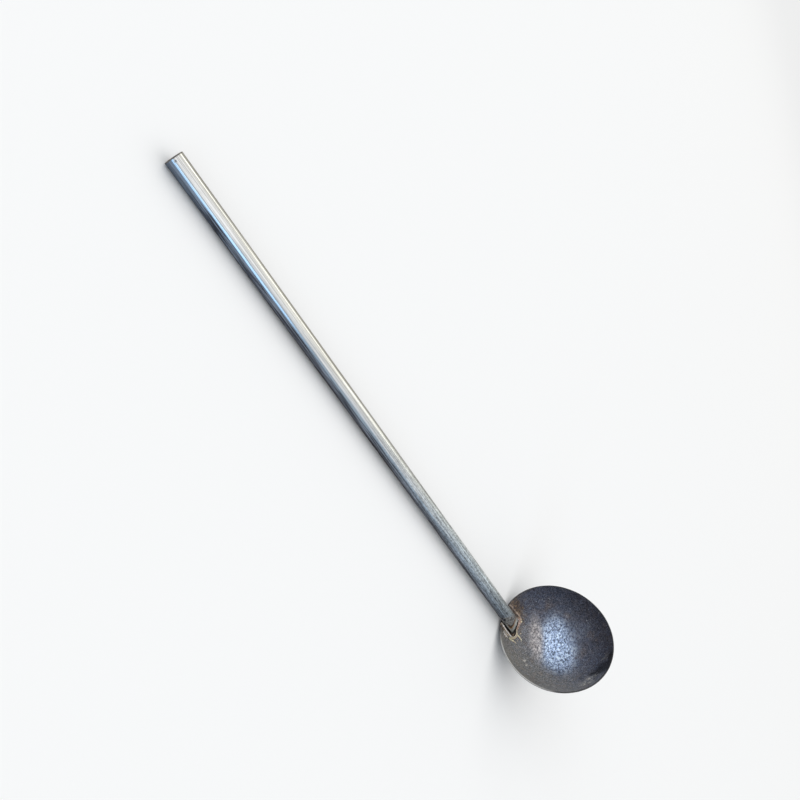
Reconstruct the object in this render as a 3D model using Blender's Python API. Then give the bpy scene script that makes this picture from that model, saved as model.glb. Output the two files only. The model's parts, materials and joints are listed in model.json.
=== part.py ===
"""Long-handled skimming ladle: a dished steel bowl with a mitred tube welded against its inside wall."""

from math import acos, asin, atan2, ceil, cos, hypot, pi, radians, sin, sqrt

import bmesh
import bpy

# Bowl, in metres like every size here.
RIM_DIAMETER = 0.172
BOWL_DEPTH = 0.061
SHEET = 0.0020
RIM_BREAK = 0.0003

# Handle tube. Its length runs from the free end to the tip of the mitre.
TUBE_DIAMETER = 0.0213
TUBE_WALL = 0.0020
TUBE_LENGTH = 0.836
END_BREAK = 0.0004
SEAT_LENGTH = 0.040
MITRE_LENGTH = 0.028

# Clearance between pieces that meet.
SEAM_GAP = 0.0003

# Fillet runs along both sides of the tube, and the run round its tip.
BEAD_RISE = 0.0070
BEAD_FLARE = 0.0026
BEAD_CROWN = 0.0011
BEAD_ROOT = 0.0006
ROOT_ANGLE = radians(16)
RIM_LAP = 0.0010
RIM_LUMP = 0.35
RIM_NOSE = 0.45
BEAD_WANDER = 0.06
RIPPLE_PITCH = 0.0023
RIPPLE_HEIGHT = 0.0004
RIPPLE_LAG = 0.0009
CUT_MARGIN = 0.0011
TOE_TURN = radians(62)
TOE_REACH = 0.0095
TOE_RISE = 0.0030

# Deposit that closes the mouth of the mitre.
SEAL_DEPTH = 0.0050
SEAL_CROWN = 0.0008
SEAL_SINK = 0.0006
SEAL_RIPPLES = 6
PUDDLE_SHIFT = 0.55

# Facets.
BOWL_STEPS = 72
BOWL_RINGS = 16
TUBE_STEPS = 48
SEAL_STEPS = 40
BEAD_POINTS = 6
LAP_STEPS = 4
TOE_RIPPLES = 14

# The bowl is a spherical cap. Its outside and inside share one centre, CENTRE_RISE above the rim plane.
OUTER_DEPTH = BOWL_DEPTH + SHEET
OUTER_SPHERE = ((RIM_DIAMETER / 2) ** 2 + OUTER_DEPTH**2) / (2 * OUTER_DEPTH)
INNER_SPHERE = OUTER_SPHERE - SHEET
CENTRE_RISE = OUTER_SPHERE - OUTER_DEPTH
INNER_RIM = sqrt(INNER_SPHERE**2 - CENTRE_RISE**2)

# The underside of the tube is a chord of the inside wall, from the rim edge to the tip of the mitre.
# Seat frame: u along the tube to its free end, v across it, w up from the chord, zero at the rim edge.
TILT = asin(INNER_RIM / INNER_SPHERE) - asin(SEAT_LENGTH / 2 / INNER_SPHERE)
CENTRE_U = -SEAT_LENGTH / 2
CENTRE_W = sqrt(INNER_SPHERE**2 - CENTRE_U**2)
TUBE_RADIUS = TUBE_DIAMETER / 2
BORE_RADIUS = TUBE_RADIUS - TUBE_WALL
AXIS_W = TUBE_RADIUS + SEAM_GAP
FREE_END_U = TUBE_LENGTH - SEAT_LENGTH
MITRE_MID_U = MITRE_LENGTH / 2 - SEAT_LENGTH
BEAD_END_U = MITRE_MID_U - cos(TOE_TURN) * (MITRE_LENGTH / 2 + SEAM_GAP) + SEAM_GAP
BEAD_TOE_V = TUBE_RADIUS + BEAD_FLARE


def mitre_u(w):
    """Where the slanted cut crosses height w."""
    return (w - SEAM_GAP) * MITRE_LENGTH / TUBE_DIAMETER - SEAT_LENGTH


def mitre_w(u):
    """How high the tube still stands at u under the slanted cut."""
    return (u + SEAT_LENGTH) * TUBE_DIAMETER / MITRE_LENGTH + SEAM_GAP


def floor_w(u, v):
    """Lowest place for weld metal at (u, v): a gap above the inside wall, or above the rim's land beyond it."""
    wall = CENTRE_W - sqrt((INNER_SPHERE - SEAM_GAP) ** 2 - (u - CENTRE_U) ** 2 - v**2)
    land = (SEAM_GAP - u * sin(TILT)) / cos(TILT)
    return min(wall, land)


def wander(step):
    """Uneven hand of a welded run, as a share of its size."""
    return BEAD_WANDER * (sin(1.7 * step) + sin(0.6 * step)) / 2


def mix(a, b, share):
    return tuple(p + (q - p) * share for p, q in zip(a, b))


def new_material(name, colour, roughness, metallic):
    material = bpy.data.materials.new(name)
    material.use_nodes = True
    shader = material.node_tree.nodes["Principled BSDF"]
    shader.inputs["Base Color"].default_value = (*colour, 1.0)
    shader.inputs["Roughness"].default_value = roughness
    shader.inputs["Metallic"].default_value = metallic
    return material


def new_empty(name, parent=None):
    empty = bpy.data.objects.new(name, None)
    empty.empty_display_size = 0.05
    empty.parent = parent
    bpy.context.scene.collection.objects.link(empty)
    return empty


def new_piece(name, bm, material, parent):
    bmesh.ops.recalc_face_normals(bm, faces=bm.faces)
    mesh = bpy.data.meshes.new(name)
    bm.to_mesh(mesh)
    bm.free()
    mesh.materials.append(material)
    mesh.shade_smooth()
    mesh.set_sharp_from_angle(angle=radians(32))
    piece = bpy.data.objects.new(name, mesh)
    piece.parent = parent
    bpy.context.scene.collection.objects.link(piece)
    return piece


def revolve(profile, steps, closed):
    """Turns a profile of (radius, height) points about the local Z axis."""
    bm = bmesh.new()
    verts = [bm.verts.new((x, 0, z)) for x, z in profile]
    edges = [bm.edges.new(pair) for pair in zip(verts, verts[1:])]
    if closed:
        edges.append(bm.edges.new((verts[-1], verts[0])))
    bmesh.ops.spin(
        bm, geom=verts + edges, cent=(0, 0, 0), axis=(0, 0, 1), dvec=(0, 0, 0),
        angle=2 * pi, steps=steps, use_merge=True,
    )
    bmesh.ops.remove_doubles(bm, verts=bm.verts, dist=1e-6)
    return bm


def loft(sections):
    """Closed solid through loops of equally many points, with a flat face on the first and the last."""
    bm = bmesh.new()
    loops = [[bm.verts.new(point) for point in section] for section in sections]
    for near, far in zip(loops, loops[1:]):
        for i in range(len(near)):
            bm.faces.new((near[i - 1], near[i], far[i], far[i - 1]))
    bm.faces.new(loops[0])
    bm.faces.new(reversed(loops[-1]))
    return bm


def make_bowl():
    """Cap of even wall, turned from one profile: inside from the bottom up, over the rim, outside down."""
    half_angle = acos(CENTRE_RISE / OUTER_SPHERE)

    def arc(radius, angles):
        return [(radius * sin(a), CENTRE_RISE - radius * cos(a)) for a in angles]

    inner_end = asin((INNER_RIM - RIM_BREAK) / INNER_SPHERE)
    outer_end = half_angle - RIM_BREAK / OUTER_SPHERE
    inside = arc(INNER_SPHERE, [inner_end * i / BOWL_RINGS for i in range(BOWL_RINGS + 1)])
    outside = arc(OUTER_SPHERE, [outer_end * i / BOWL_RINGS for i in range(BOWL_RINGS, -1, -1)])
    land = [(INNER_RIM + RIM_BREAK, 0), (RIM_DIAMETER / 2 - RIM_BREAK, 0)]
    return revolve(inside + land + outside, BOWL_STEPS, closed=False)


def make_tube():
    """Tube along local Z with its mitre tip at zero, on the +X side. Both edges of the free end are broken."""
    profile = [
        (TUBE_RADIUS - END_BREAK, TUBE_LENGTH),
        (TUBE_RADIUS, TUBE_LENGTH - END_BREAK),
        (TUBE_RADIUS, -MITRE_LENGTH),
        (BORE_RADIUS, -MITRE_LENGTH),
        (BORE_RADIUS, TUBE_LENGTH - END_BREAK),
        (BORE_RADIUS + END_BREAK, TUBE_LENGTH),
    ]
    bm = revolve(profile, TUBE_STEPS, closed=True)
    cut = bmesh.ops.bisect_plane(
        bm, geom=bm.verts[:] + bm.edges[:] + bm.faces[:], dist=1e-7,
        plane_co=(TUBE_RADIUS, 0, 0), plane_no=(-MITRE_LENGTH, 0, -TUBE_DIAMETER), clear_outer=True,
    )
    rims = [item for item in cut["geom_cut"] if isinstance(item, bmesh.types.BMEdge)]
    bmesh.ops.bridge_loops(bm, edges=rims)
    return bm


def make_end_seal():
    """Puddle in the mitre's mouth: ripples nest towards its upper end, and its side follows the bore."""
    reach = BORE_RADIUS - SEAM_GAP
    turns = [2 * pi * i / SEAL_STEPS for i in range(SEAL_STEPS)]

    def ring(size, lift):
        shift = (1 - size) * PUDDLE_SHIFT * reach
        points = []
        for turn in turns:
            w = AXIS_W + shift + size * reach * cos(turn)
            points.append((mitre_u(w) - lift, size * reach * sin(turn), w))
        return points

    def crown(size):
        return SEAL_CROWN - (SEAL_CROWN + SEAL_SINK) * size**4

    sections = [ring(1.0, -SEAL_DEPTH), ring(1.0, crown(1.0))]
    for i in range(SEAL_RIPPLES):
        crest = 1 - (i + 0.25) / (SEAL_RIPPLES + 1)
        trough = 1 - (i + 0.95) / (SEAL_RIPPLES + 1)
        sections.append(ring(crest, crown(crest) + RIPPLE_HEIGHT))
        sections.append(ring(trough, crown(trough)))
    return loft(sections)


def run_stations():
    """Places along a side run from the rim to its end, with the height of the ripple at each."""
    stations = [(RIM_LAP - 2 * RIM_LAP * i / LAP_STEPS, 0.5) for i in range(LAP_STEPS + 1)]
    start = stations[-1][0]
    count = ceil((start - BEAD_END_U) / RIPPLE_PITCH)
    pitch = (start - BEAD_END_U) / count
    for i in range(count):
        stations.append((start - pitch * (i + 0.2), 1.0))
        stations.append((start - pitch * (i + 1.0), 0.0))
    return stations


def side_section(u, ripple, lag, size, side):
    """Loop in the corner between tube and wall: up the tube, over the crown, back under along the wall."""
    shell = TUBE_RADIUS + SEAM_GAP

    def on_tube(angle):
        return (u, shell * sin(angle), AXIS_W - shell * cos(angle))

    low, high = 0.0, pi / 2
    for _ in range(40):
        middle = (low + high) / 2
        _, v, w = on_tube(middle)
        if w - floor_w(u, v) < BEAD_ROOT:
            low = middle
        else:
            high = middle
    root = max(high, ROOT_ANGLE)
    rise = min(BEAD_RISE * size, mitre_w(u) - CUT_MARGIN, AXIS_W * 0.9)
    top = max(acos((AXIS_W - rise) / shell), root + ROOT_ANGLE)
    toe_v = shell + (BEAD_TOE_V - shell) * size
    toe = (u, toe_v, floor_w(u, toe_v))
    ends = (on_tube(top), toe)
    across = (0.0, ends[0][2] - toe[2], toe_v - ends[0][1])
    span = hypot(*across)
    swell = BEAD_CROWN * size + RIPPLE_HEIGHT * ripple
    loop = [on_tube(root + (top - root) * i / BEAD_POINTS) for i in range(BEAD_POINTS + 1)]
    for i in range(1, BEAD_POINTS):
        arch = sin(pi * i / BEAD_POINTS)
        _, v, w = mix(*ends, i / BEAD_POINTS)
        loop.append((u - lag * arch, v + across[1] / span * swell * arch, w + across[2] / span * swell * arch))
    root_v = loop[0][1]
    for i in range(BEAD_POINTS + 1):
        v = toe_v + (root_v - toe_v) * i / BEAD_POINTS
        loop.append((u, v, floor_w(u, v)))
    return [(x, side * y, z) for x, y, z in loop]


def make_side_run(side, lump):
    """Fillet run with lapped ripples. A round-nosed lump thickens its start where it laps over the rim."""
    stations = run_stations()
    sections = []
    for i, (u, ripple) in enumerate(stations):
        inside = 0 < i < len(stations) - 1
        fade = min(1.0, max(0.0, 1 + u / (3 * RIPPLE_PITCH)))
        nose = min(1.0, RIM_NOSE + (1 - RIM_NOSE) * sin(pi / 2 * min(1.0, i / LAP_STEPS)))
        size = nose * (1 + lump * fade) * (1 + inside * wander(i + side))
        sections.append(side_section(u, ripple, RIPPLE_LAG * inside, size, side))
    return loft(sections)


def toe_section(turn, ripple, size):
    """Loop from the tip of the tube out over the wall, at a share of the way round from -1 to 1."""
    outer_reach = MITRE_LENGTH / 2 + TOE_REACH * size
    end_u = MITRE_MID_U - cos(TOE_TURN) * (MITRE_LENGTH / 2 + SEAM_GAP)
    outer_turn = acos((MITRE_MID_U - end_u) / outer_reach)
    inner = (
        MITRE_MID_U - cos(turn * TOE_TURN) * (MITRE_LENGTH / 2 + SEAM_GAP),
        sin(turn * TOE_TURN) * (TUBE_RADIUS + SEAM_GAP),
    )
    outer = (
        MITRE_MID_U - cos(turn * outer_turn) * outer_reach,
        sin(turn * outer_turn) / sin(outer_turn) * BEAD_TOE_V,
    )
    end_rise = mitre_w(end_u) - CUT_MARGIN
    rise = (TOE_RISE + (end_rise - TOE_RISE) * turn**2) * size
    top, bottom = [], []
    for i in range(2 * BEAD_POINTS + 1):
        share = i / (2 * BEAD_POINTS)
        u, v = mix(inner, outer, share)
        base = floor_w(u, v)
        swell = BEAD_CROWN + RIPPLE_HEIGHT * ripple
        bottom.append((u, v, base))
        top.append((u, v, base + rise * (1 - share) + swell * sin(pi * share)))
    return top + bottom[-2::-1]


def make_toe_run():
    """Run round the tip, with ripples that lap the same way all along it."""
    sections = [toe_section(-1.0, 0.0, 1.0)]
    for i in range(TOE_RIPPLES):
        for share, ripple in ((0.2, 1.0), (1.0, 0.0)):
            turn = 2 * (i + share) / TOE_RIPPLES - 1
            sections.append(toe_section(turn, ripple, 1 + (turn < 1) * wander(2 * i + share)))
    return loft(sections)


def rest_on_floor(seat):
    """Lays the seat frame so that bowl and free end touch the floor, with the origin under the middle."""
    drop = CENTRE_W - SEAM_GAP
    run = FREE_END_U - END_BREAK - CENTRE_U
    pitch = atan2(run, drop) - acos(OUTER_SPHERE / hypot(run, drop))
    seat.rotation_euler = (0, pitch, 0)

    def along(u, w):
        return u * cos(pitch) + w * sin(pitch)

    back = along(CENTRE_U, CENTRE_W) - OUTER_SPHERE
    if pi / 2 - TILT - pitch > acos(CENTRE_RISE / OUTER_SPHERE):
        rim_span = INNER_RIM + RIM_DIAMETER / 2
        back = along(-rim_span * cos(TILT), rim_span * sin(TILT))
    front = along(FREE_END_U, SEAM_GAP + TUBE_DIAMETER - END_BREAK)
    lift = (FREE_END_U - END_BREAK) * sin(pitch) - SEAM_GAP * cos(pitch)
    seat.location = (-(back + front) / 2, 0, lift)


def main():
    for old in list(bpy.data.objects):
        bpy.data.objects.remove(old, do_unlink=True)

    scaled_steel = new_material("bowl_steel", (0.15, 0.15, 0.16), 0.55, 0.85)
    zinc = new_material("galvanised_steel", (0.52, 0.56, 0.60), 0.42, 0.9)
    weld = new_material("weld_metal", (0.33, 0.28, 0.23), 0.6, 0.7)

    seat = new_empty("seat", new_empty("skimmer"))
    rest_on_floor(seat)

    bowl = new_piece("bowl", make_bowl(), scaled_steel, seat)
    bowl.location = (-INNER_RIM * cos(TILT), 0, INNER_RIM * sin(TILT))
    bowl.rotation_euler = (0, TILT, 0)

    tube = new_piece("handle_tube", make_tube(), zinc, seat)
    tube.location = (-SEAT_LENGTH, 0, AXIS_W)
    tube.rotation_euler = (0, pi / 2, 0)

    new_piece("end_seal_weld", make_end_seal(), weld.copy(), seat)
    new_piece("weld_bead_right", make_side_run(1, RIM_LUMP), weld.copy(), seat)
    new_piece("weld_bead_left", make_side_run(-1, 0.0), weld.copy(), seat)
    new_piece("weld_bead_toe", make_toe_run(), weld, seat)


main()
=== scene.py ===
"""Looks of the long-handled skimming ladle: scaled bowl, zinc-coated tube and hand-laid weld runs."""

import json
from math import acos, asin, ceil, cos, exp, hypot, pi, radians, sin, sqrt

import bmesh
import bpy
from mathutils import Euler, Matrix, Vector, noise


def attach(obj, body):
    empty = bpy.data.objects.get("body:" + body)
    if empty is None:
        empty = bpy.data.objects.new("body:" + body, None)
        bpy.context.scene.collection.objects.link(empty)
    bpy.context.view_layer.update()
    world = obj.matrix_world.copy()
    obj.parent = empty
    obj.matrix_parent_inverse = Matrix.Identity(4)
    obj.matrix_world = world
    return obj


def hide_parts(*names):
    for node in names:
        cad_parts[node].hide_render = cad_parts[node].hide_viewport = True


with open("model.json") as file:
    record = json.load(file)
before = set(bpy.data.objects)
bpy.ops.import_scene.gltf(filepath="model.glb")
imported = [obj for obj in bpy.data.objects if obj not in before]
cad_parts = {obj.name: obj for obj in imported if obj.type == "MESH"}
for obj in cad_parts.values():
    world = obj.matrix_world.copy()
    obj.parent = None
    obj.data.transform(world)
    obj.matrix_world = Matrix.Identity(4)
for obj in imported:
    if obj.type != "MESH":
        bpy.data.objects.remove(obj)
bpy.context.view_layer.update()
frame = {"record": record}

# Sizes of the part, in metres.
RIM_RADIUS = 0.086
SHEET = 0.0020
OUTER_DEPTH = 0.063
TUBE_RADIUS = 0.01065
BORE_RADIUS = 0.00865
TUBE_LENGTH = 0.836
SEAT_LENGTH = 0.040
MITRE_LENGTH = 0.028
SEAM_GAP = 0.0003
OUTER_SPHERE = (RIM_RADIUS**2 + OUTER_DEPTH**2) / (2 * OUTER_DEPTH)
INNER_SPHERE = OUTER_SPHERE - SHEET
CENTRE_RISE = OUTER_SPHERE - OUTER_DEPTH
INNER_RIM = sqrt(INNER_SPHERE**2 - CENTRE_RISE**2)
TILT = asin(INNER_RIM / INNER_SPHERE) - asin(SEAT_LENGTH / 2 / INNER_SPHERE)
CENTRE_U = -SEAT_LENGTH / 2
CENTRE_W = sqrt(INNER_SPHERE**2 - CENTRE_U**2)
CLEAR_RADIUS = TUBE_RADIUS + SEAM_GAP
AXIS_W = TUBE_RADIUS + SEAM_GAP
FREE_END_U = TUBE_LENGTH - SEAT_LENGTH
MITRE_SLOPE = MITRE_LENGTH / (2 * TUBE_RADIUS)
MITRE_MID_U = MITRE_LENGTH / 2 - SEAT_LENGTH

# Seat frame: u along the tube to its free end, v across, w up from the wall, zero at the rim's inner edge.
# The record's mount lies on the tube's end face, straight above the axis, in the middle of the pipe wall.
END_FACE = frame["record"]["mounts"][0]
END_FACE_W = AXIS_W + (TUBE_RADIUS + BORE_RADIUS) / 2
PITCH = asin(-END_FACE["axis"][2])
SEAT = (Matrix.Translation(END_FACE["pos_m"]) @ Matrix.Rotation(PITCH, 4, "Y")
        @ Matrix.Translation((-FREE_END_U, 0, -END_FACE_W)))
# Bowl frame: zero at the sphere's centre, Z along the bowl's axis, X towards the handle's seat.
BOWL = SEAT @ Matrix.Translation((CENTRE_U, 0, CENTRE_W)) @ Matrix.Rotation(TILT, 4, "Y")

# Bowl shell: facets, how far the walls stop short of the rim's rounded edges, and unevenness.
BOWL_STEPS, INNER_RINGS, OUTER_RINGS = 216, 72, 44
INNER_EDGE, OUTER_EDGE, OUTER_INSET = 0.0004, 0.0005, 0.00005
BROAD_DENT, SMALL_DENT = 0.00016, 0.00005
RIM_WAVE, RIM_NICK = 0.00013, 0.00007

# Tube: facets, unevenness, and the pit in the zinc close to the free end.
TUBE_STEPS, TUBE_ROWS, PIT_ROWS, BORE_ROWS = 120, 150, 15, 24
TUBE_WAVE, DRAW_LINE = 0.00003, 0.000018
PIT_U = 0.7926
PIT_TURN = radians(180 - 45.6)
PIT_REACH = 0.0009
PIT_DEPTH = 0.0004
PIT_ROW = 0.0004

# Weld runs.
BEAD_START_U = 0.0010
BEAD_RISE = 0.00518
BEAD_TOE_V = TUBE_RADIUS + 0.0026
BEAD_ROOT = 0.0006
ROOT_TURN = radians(16)
RIPPLE_PITCH = 0.0023
RIPPLE_HEIGHT = 0.00036
RIPPLE_LAG = 0.0016
RIPPLE_DRIFT = 0.0016
NOSE_LENGTH, LUMP_CORE, LUMP_LENGTH, TAIL_LENGTH = 0.0022, 0.001, 0.0075, 0.002
SIDE_CROWN, SIDE_ROUGH = 0.001595, 0.00022
CLEFT_DEPTH, CLEFT_FROM_U, CLEFT_FULL_U = 0.0005, -0.010, -0.016
TOE_TURN = radians(62)
TOE_REACH = 0.0095
TOE_RISE = 0.0018
TOE_CROWN, TOE_ROUGH = 0.00165, 0.0003
TOE_SCALES = 14
CUT_MARGIN = 0.0011
CORNER_ROUND = 0.0045
TOE_END_U = MITRE_MID_U - cos(TOE_TURN) * (MITRE_LENGTH / 2 + SEAM_GAP)
BEAD_END_U = TOE_END_U + SEAM_GAP
SEAL_DEPTH, SEAL_CROWN, SEAL_SAG = 0.0050, 0.0008, 0.0014
SEAL_RIPPLE, SEAL_ROUGH = 0.0005, 0.0002

# Threads of weld metal on the wall, as start and end (u, v), bow, half width and height.
RIGHT_THREADS = [((-0.0118, 0.0152), (-0.0282, 0.0156), 0.0004, 0.0016, 0.0016)]
TOE_THREADS = [((-0.0440, -0.0042), (-0.0586, 0.0017), 0.0003, 0.0014, 0.0012),
               ((-0.0320, 0.0138), (-0.0492, 0.0121), 0.0004, 0.0014, 0.0012)]

# Spatter on the wall, as (u, v, radius).
RIGHT_DROPS = [(-0.0176, 0.0172, 0.0012), (-0.0228, 0.0169, 0.0015), (-0.0260, 0.0195, 0.0007),
               (-0.0090, 0.0190, 0.0006)]
LEFT_DROPS = [(-0.0120, -0.0185, 0.0009), (-0.0220, -0.0200, 0.0006), (-0.0300, -0.0172, 0.0008)]
TOE_DROPS = [(-0.0455, -0.0238, 0.0017), (-0.0432, -0.0262, 0.0011), (-0.0535, -0.0075, 0.0009),
             (-0.0515, 0.0068, 0.0007), (-0.0580, 0.0040, 0.0006)]

# Places of marks in the paint.
RUB_TURN = radians(-18)
# A black spot with blue-white flecks painted on the tube where the right bead starts, as shadow and
# reflection.
SHADOW_SPOT_U, SHADOW_SPOT_LENGTH = 0.0140, 0.0085
SHADOW_SPOT_TURN, SHADOW_SPOT_SWEEP = radians(90), radians(36)


def mitre_u(w):
    return (w - SEAM_GAP) * MITRE_SLOPE - SEAT_LENGTH


def mitre_w(u):
    return (u + SEAT_LENGTH) / MITRE_SLOPE + SEAM_GAP


def floor_w(u, v):
    """Lowest place for weld metal at (u, v), just clear of the wall or of the rim's land."""
    wall = CENTRE_W - sqrt((INNER_SPHERE - SEAM_GAP) ** 2 - (u - CENTRE_U) ** 2 - v**2)
    land = (SEAM_GAP - u * sin(TILT)) / cos(TILT)
    return min(wall, land)


def clamp(x):
    return min(1.0, max(0.0, x))


def smooth(low, high, x):
    t = clamp((x - low) / (high - low))
    return t * t * (3 - 2 * t)


def band(share, low, high, soft=0.06):
    """1 between low and high, 0 outside, with soft edges."""
    return smooth(low - soft, low + soft, share) * smooth(high + soft, high - soft, share)


def full_turn(steps):
    return [2 * pi * i / steps for i in range(steps)]


def lumps(x, y, z, octaves=3):
    return noise.fractal(Vector((x, y, z)), 0.9, 2.1, octaves)


def lapped(phase):
    """Height of one scale in a run of ripples: a quick rise, then a long fall under the next."""
    p = phase % 1.0
    return smooth(0.0, 0.22, p) * (1 - 0.85 * smooth(0.22, 1.0, p))


class Skin:
    """Vertices and faces of one piece, laid as rows of points, with a height mark for the paint."""

    def __init__(self):
        self.points, self.faces, self.marks = [], [], []

    def row(self, points, marks=None):
        start = len(self.points)
        self.points += points
        self.marks += marks or [0.0] * len(points)
        return list(range(start, len(self.points)))

    def strips(self, rows):
        for near, far in zip(rows, rows[1:]):
            for i in range(len(near)):
                self.faces.append((near[i - 1], near[i], far[i], far[i - 1]))

    def fan(self, ring, tip):
        for i in range(len(ring)):
            self.faces.append((ring[i - 1], ring[i], tip))

    def close(self, *rings):
        self.faces += [tuple(ring) for ring in rings]

    def sleeve(self, rows):
        self.strips(rows)
        self.close(rows[0], rows[-1])

    def build(self, name, place, material, sharp):
        mesh = bpy.data.meshes.new(name)
        mesh.from_pydata([place @ Vector(point) for point in self.points], [], self.faces)
        shape = bmesh.new()
        shape.from_mesh(mesh)
        bmesh.ops.recalc_face_normals(shape, faces=shape.faces)
        shape.to_mesh(mesh)
        shape.free()
        mark = mesh.attributes.new("crest", "FLOAT", "POINT")
        mark.data.foreach_set("value", self.marks)
        own = mesh.attributes.new("own_place", "FLOAT_VECTOR", "POINT")
        own.data.foreach_set("vector", [c for point in self.points for c in point])
        mesh.materials.append(material)
        mesh.shade_smooth()
        mesh.set_sharp_from_angle(angle=radians(sharp))
        piece = bpy.data.objects.new(name, mesh)
        bpy.context.scene.collection.objects.link(piece)
        return piece


def stand_for(piece, node):
    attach(piece, "root")
    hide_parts(node)


class Paint:
    """Node material whose pattern lies in the piece's own coordinates."""

    def __init__(self, name):
        self.material = bpy.data.materials.new(name)
        self.material.use_nodes = True
        self.tree = self.material.node_tree
        self.shader = self.tree.nodes["Principled BSDF"]
        self.place = self.node("ShaderNodeAttribute", {}, "Vector", attribute_name="own_place")

    def feed(self, socket, value):
        if isinstance(value, bpy.types.NodeSocket):
            self.tree.links.new(value, socket)
        else:
            socket.default_value = value

    def node(self, kind, inputs, output=0, **settings):
        made = self.tree.nodes.new(kind)
        for key, value in settings.items():
            setattr(made, key, value)
        for key, value in inputs.items():
            self.feed(made.inputs[key], value)
        return made.outputs[output]

    def set(self, **inputs):
        for key, value in inputs.items():
            self.feed(self.shader.inputs[key.replace("_", " ")], value)

    def math(self, operation, first, *others):
        for other in others:
            first = self.node("ShaderNodeMath", {0: first, 1: other}, operation=operation)
        return first

    def add(self, *values):
        return self.math("ADD", *values)

    def minus(self, value, taken):
        return self.math("SUBTRACT", value, taken)

    def times(self, *values):
        return self.math("MULTIPLY", *values)

    def most(self, *values):
        return self.math("MAXIMUM", *values)

    def hypot(self, x, y):
        squares = self.add(self.times(x, x), self.times(y, y))
        return self.node("ShaderNodeMath", {0: squares}, operation="SQRT")

    def wobble(self, pattern, size):
        """A pattern of 0 to 1 as an unevenness about zero."""
        return self.times(self.minus(pattern, 0.5), size)

    def axes(self):
        return tuple(self.node("ShaderNodeSeparateXYZ", {0: self.place}).node.outputs)

    def scaled(self, factors, vector=None):
        return self.node("ShaderNodeVectorMath", {0: vector or self.place, 1: factors}, operation="MULTIPLY")

    def shifted(self, offset):
        return self.node("ShaderNodeVectorMath", {0: self.place, 1: offset}, operation="ADD")

    def joined(self, x, y, z):
        return self.node("ShaderNodeCombineXYZ", {0: x, 1: y, 2: z})

    def length(self, vector):
        return self.node("ShaderNodeVectorMath", {0: vector}, "Value", operation="LENGTH")

    def noise(self, scale, detail, rough, vector=None, twist=0.0):
        return self.node(
            "ShaderNodeTexNoise",
            {"Vector": vector or self.place, "Scale": scale, "Detail": detail, "Roughness": rough,
             "Distortion": twist},
        )

    def linear(self, value, low, high):
        return self.node("ShaderNodeMapRange", {"Value": value, "From Min": low, "From Max": high})

    def range(self, value, low, high, bottom=0.0, top=1.0):
        return self.node(
            "ShaderNodeMapRange",
            {"Value": value, "From Min": low, "From Max": high, "To Min": bottom, "To Max": top},
            interpolation_type="SMOOTHSTEP",
        )

    def ramp(self, value, stops):
        colours = self.node("ShaderNodeValToRGB", {0: value})
        elements = colours.node.color_ramp.elements
        while len(elements) < len(stops):
            elements.new(0.5)
        for element, (place, colour) in zip(elements, stops):
            element.position = place
            element.color = (*colour, 1.0)
        return colours

    def blend(self, share, a, b, mode="MIX"):
        def colour(value):
            return (*value, 1.0) if isinstance(value, tuple) else value

        return self.node(
            "ShaderNodeMix", {0: share, 6: colour(a), 7: colour(b)}, 2, data_type="RGBA", blend_type=mode,
        )

    def tinted(self, colour, tint):
        return self.blend(1.0, colour, tint, "MULTIPLY")

    def spot(self, centre, reach, turn=0.0):
        """1 in the middle of an ellipse over X and Y, 0 from its edge on."""
        moved = self.shifted((-centre[0], -centre[1], 0.0))
        turned = self.node(
            "ShaderNodeVectorRotate", {"Vector": moved, "Angle": turn}, rotation_type="Z_AXIS",
        )
        flat = self.scaled((1 / reach[0], 1 / reach[1], 0.0), turned)
        return self.range(self.length(flat), 1.0, 0.0)

    def bump(self, height, distance, strength, normal=None):
        inputs = {"Height": height, "Distance": distance, "Strength": strength}
        if normal:
            inputs["Normal"] = normal
        return self.node("ShaderNodeBump", inputs)

    def crest(self):
        """The height mark that the shape gives to each of its points."""
        return self.node("ShaderNodeAttribute", {}, "Fac", attribute_name="crest")


def scale_colour(p, light_slope, lit_side, grain, rust):
    """Mill scale with painted light and shade: blue-black where the gradient is shaded, olive-grey and
    lighter where it is lit, mottled and grainy.
    """
    colour = p.ramp(p.linear(light_slope, -0.070, 0.060), [
        (0.0, (0.070, 0.073, 0.092)), (0.16, (0.090, 0.095, 0.120)), (0.38, (0.125, 0.135, 0.170)),
        (0.62, (0.205, 0.208, 0.225)), (0.82, (0.230, 0.226, 0.222)), (1.0, (0.240, 0.229, 0.207)),
    ])
    colour = p.blend(rust, colour, (0.165, 0.135, 0.120))
    hue = p.noise(150, 5, 0.7, p.shifted((0.5, 0.8, 0.2)))
    colour = p.tinted(colour, p.ramp(hue, [
        (0.36, (1.07, 0.99, 0.94)), (0.5, (1.0, 1.0, 1.0)), (0.64, (0.94, 0.99, 1.08)),
    ]))
    mottle = p.noise(370, 3, 0.6, p.shifted((0.6, 0.4, 0.1)))
    colour = p.tinted(colour, p.ramp(mottle, [(0.38, (0.80, 0.80, 0.81)), (0.62, (1.22, 1.22, 1.21))]))
    low = p.blend(lit_side, (0.42, 0.42, 0.43), (0.44, 0.44, 0.45))
    high = p.blend(lit_side, (1.72, 1.72, 1.76), (1.56, 1.55, 1.52))
    return p.blend(p.range(grain, 0.40, 0.60), p.tinted(colour, low), p.tinted(colour, high))


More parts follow.
